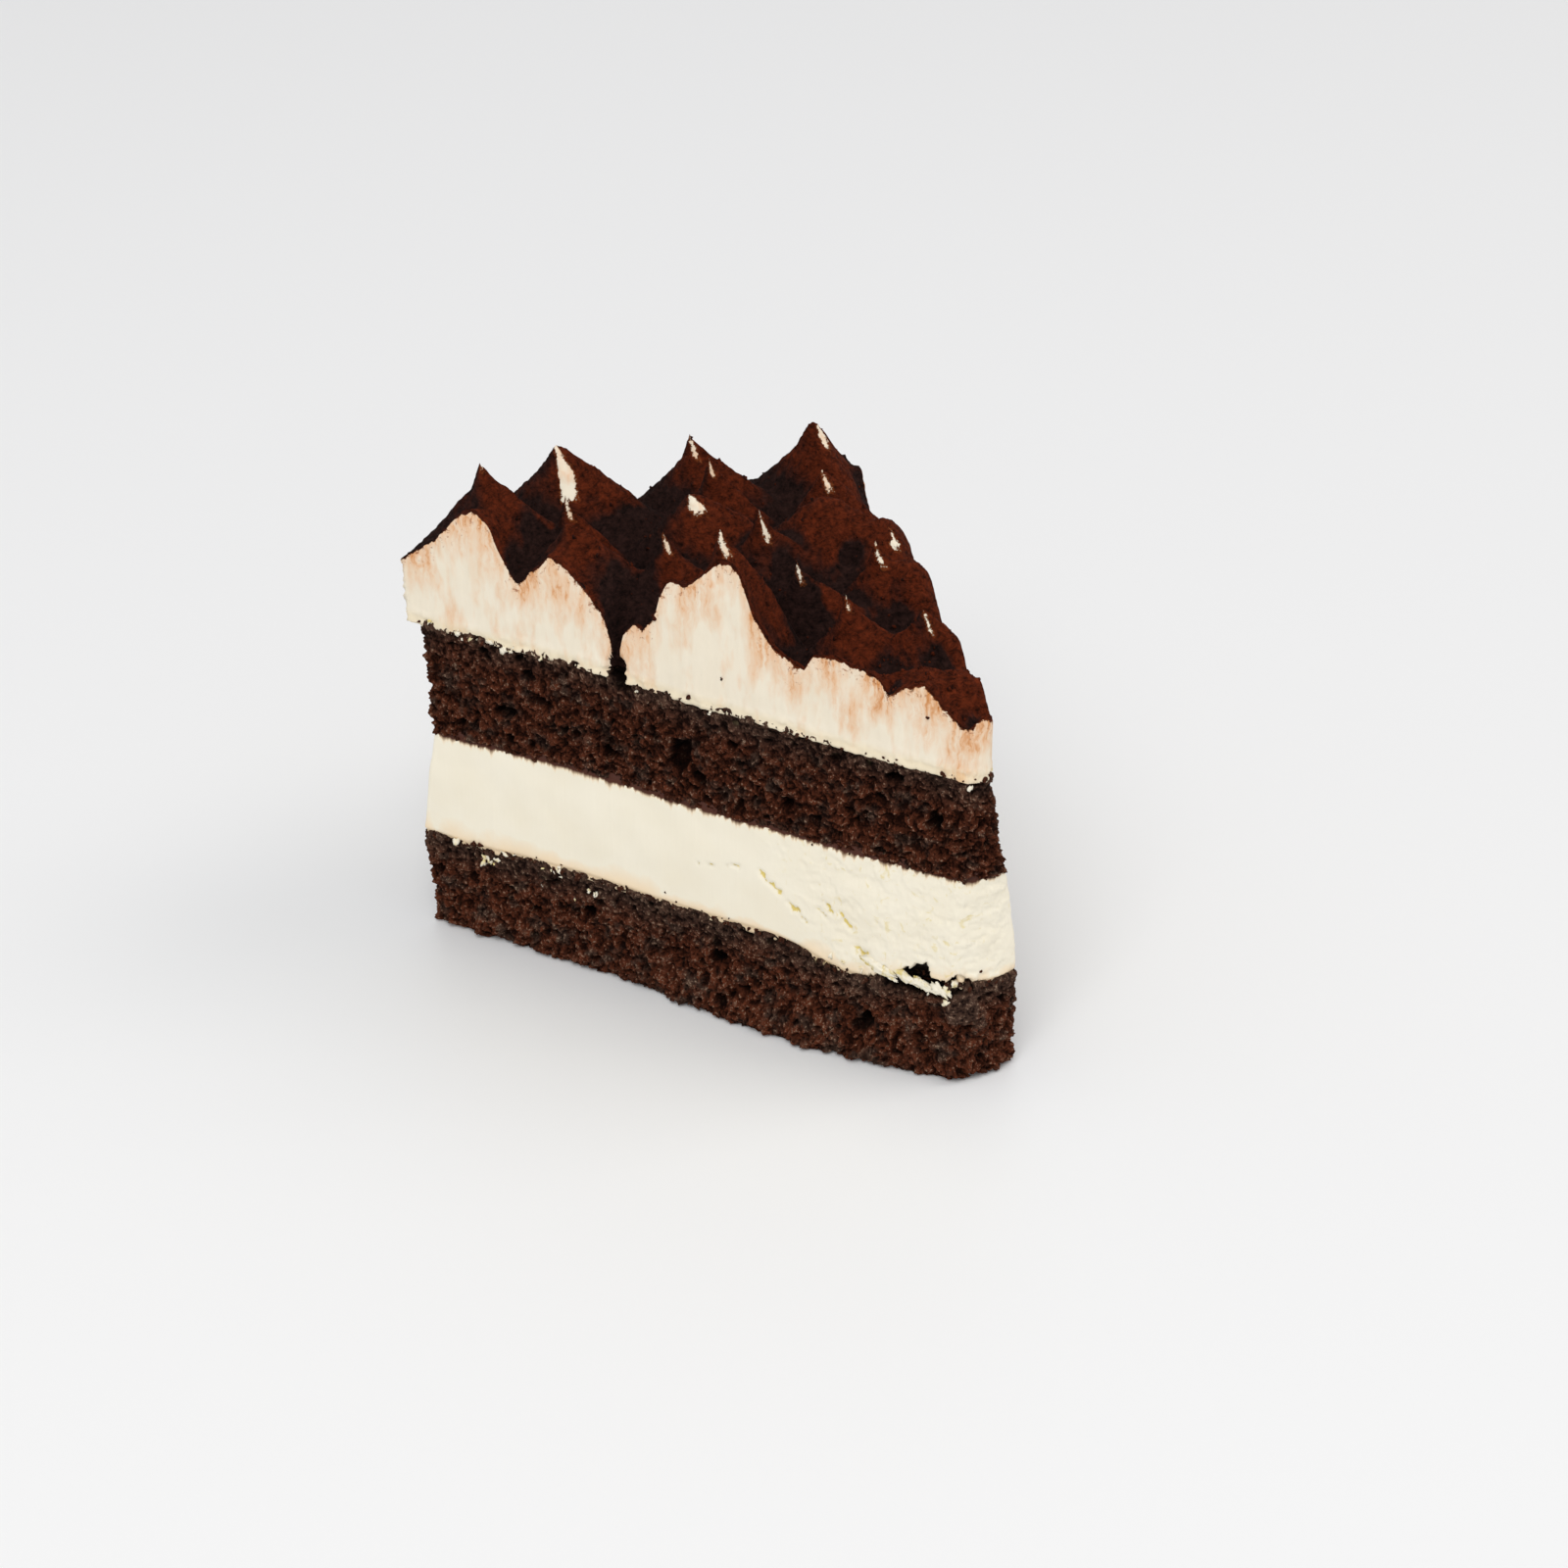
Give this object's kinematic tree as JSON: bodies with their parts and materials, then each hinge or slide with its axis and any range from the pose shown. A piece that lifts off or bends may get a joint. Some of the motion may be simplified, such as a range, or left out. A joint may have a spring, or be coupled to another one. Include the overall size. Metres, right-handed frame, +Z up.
{
  "type": "slice of tiramisu cake",
  "caption": "Wedge of a round layer cake: soaked chocolate sponge, pale cream filling, and a tall cream topping pulled into cocoa-dusted peaks.",
  "frame": {"origin": "centre of the bounding box, on the base the slice stands on", "axes": "+X towards the slice's blunt tip, -Y out of the front cut face, +Z up"},
  "size_m": [0.113, 0.0854, 0.091],
  "materials": {
    "chocolate_sponge": "soft, open-pored, soaked chocolate sponge",
    "cream_filling": "dense, satin, pale cream cut with a knife",
    "cocoa_dusted_cream": "satin whipped cream dusted with matte brown cocoa powder, bare at the cuts"
  },
  "bodies": {
    "root": {"lower_sponge": "chocolate_sponge", "cream_filling": "cream_filling", "upper_sponge": "chocolate_sponge", "cream_topping": "cocoa_dusted_cream"}
  },
  "joints": []
}
